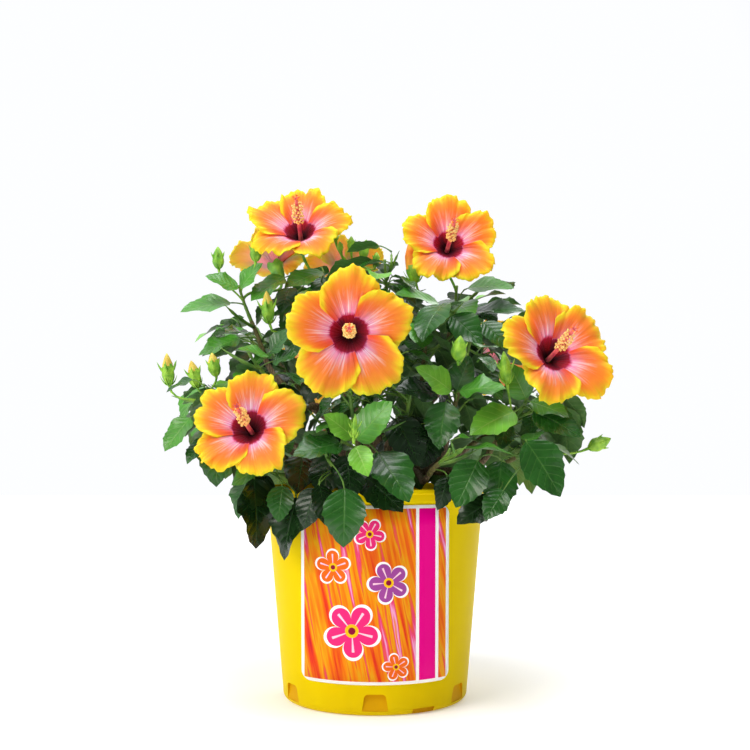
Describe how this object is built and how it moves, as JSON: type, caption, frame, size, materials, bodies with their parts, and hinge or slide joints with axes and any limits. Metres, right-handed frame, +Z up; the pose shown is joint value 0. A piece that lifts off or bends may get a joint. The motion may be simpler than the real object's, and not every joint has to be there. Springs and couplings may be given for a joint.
{
  "type": "potted hibiscus shrub",
  "caption": "Bushy flowering hibiscus shrub with open five-petalled blooms and toothed leaves, standing in a tapered plastic nursery pot with a label.",
  "frame": {"origin": "centre of the pot's flat underside", "axes": "+Z up, -Y towards the pot's label and the side with the most open blooms"},
  "size_m": [0.4569, 0.3951, 0.5326],
  "materials": {
    "pot": "smooth, satin",
    "pot_label": "printed film",
    "potting_mix": "loose, matt",
    "bark": "fine bark",
    "leaves": "glossy leaf",
    "petals": "soft petal"
  },
  "bodies": {
    "root": {"bloom_behind_left": "petals", "bloom_behind_top": "petals", "bloom_front": "petals", "bloom_low_left": "petals", "bloom_rear_left": "petals", "bloom_rear_right": "petals", "bloom_right": "petals", "bloom_top_left": "petals", "bloom_top_right": "petals", "bough_back_left": "bark", "bough_back_low": "bark", "bough_back_mid": "bark", "bough_back_right": "bark", "bough_centre": "bark", "bough_centre_right": "bark", "bough_front_left": "bark", "bough_front_low": "bark", "bough_front_right": "bark", "bough_inner_right": "bark", "bough_left_back": "bark", "bough_left_high": "bark", "bough_left_low": "bark", "bough_left_mid": "bark", "bough_left_outer": "bark", "bough_right_back": "bark", "bough_right_high": "bark", "bough_right_low": "bark", "bough_right_mid": "bark", "bough_top_front": "bark", "bough_top_left": "bark", "bough_top_mid": "bark", "bough_top_right": "bark", "foliage_back_left": "leaves", "foliage_back_low": "leaves", "foliage_back_mid": "leaves", "foliage_back_right": "leaves", "foliage_centre": "leaves", "foliage_centre_right": "leaves", "foliage_front_left": "leaves", "foliage_front_low": "leaves", "foliage_front_right": "leaves", "foliage_inner_right": "leaves", "foliage_left_back": "leaves", "foliage_left_high": "leaves", "foliage_left_low": "leaves", "foliage_left_mid": "leaves", "foliage_left_outer": "leaves", "foliage_right_back": "leaves", "foliage_right_high": "leaves", "foliage_right_low": "leaves", "foliage_right_mid": "leaves", "foliage_top_front": "leaves", "foliage_top_left": "leaves", "foliage_top_mid": "leaves", "foliage_top_right": "leaves", "pot": "pot", "pot_label": "pot_label", "potting_mix": "potting_mix", "trunk": "bark"}
  },
  "joints": []
}
